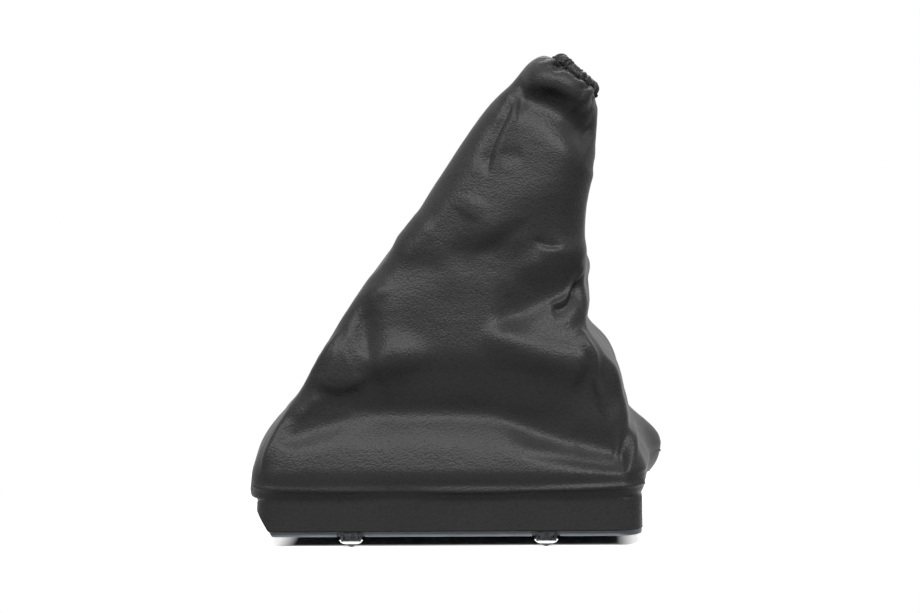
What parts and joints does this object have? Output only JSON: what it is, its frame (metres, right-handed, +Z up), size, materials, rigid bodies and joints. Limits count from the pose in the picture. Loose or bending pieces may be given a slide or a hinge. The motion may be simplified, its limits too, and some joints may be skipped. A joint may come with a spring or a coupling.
{
  "type": "handbrake boot",
  "caption": "Gathered leather-look cover that leans over a handbrake lever, on a moulded frame with snap-in clips.",
  "frame": {"origin": "middle of the footprint box, on the floor under the clips' tabs", "axes": "+Z up through the cover, +X the way the neck leans, along the frame's length, -Y the near long side"},
  "size_m": [0.163, 0.0996, 0.1918],
  "materials": {
    "cover": "fine grain, satin",
    "thread": "twisted thread",
    "elastic": "braided round elastic",
    "frame": "moulded, matte",
    "clip": "blackened spring steel"
  },
  "bodies": {
    "root": {"boot_half_right": "cover", "boot_half_left": "cover", "seam_thread_front": "thread", "seam_thread_rear": "thread", "neck_elastic": "elastic", "frame": "frame", "clip_front_right": "clip", "clip_front_left": "clip", "clip_rear_right": "clip", "clip_rear_left": "clip"}
  },
  "joints": []
}
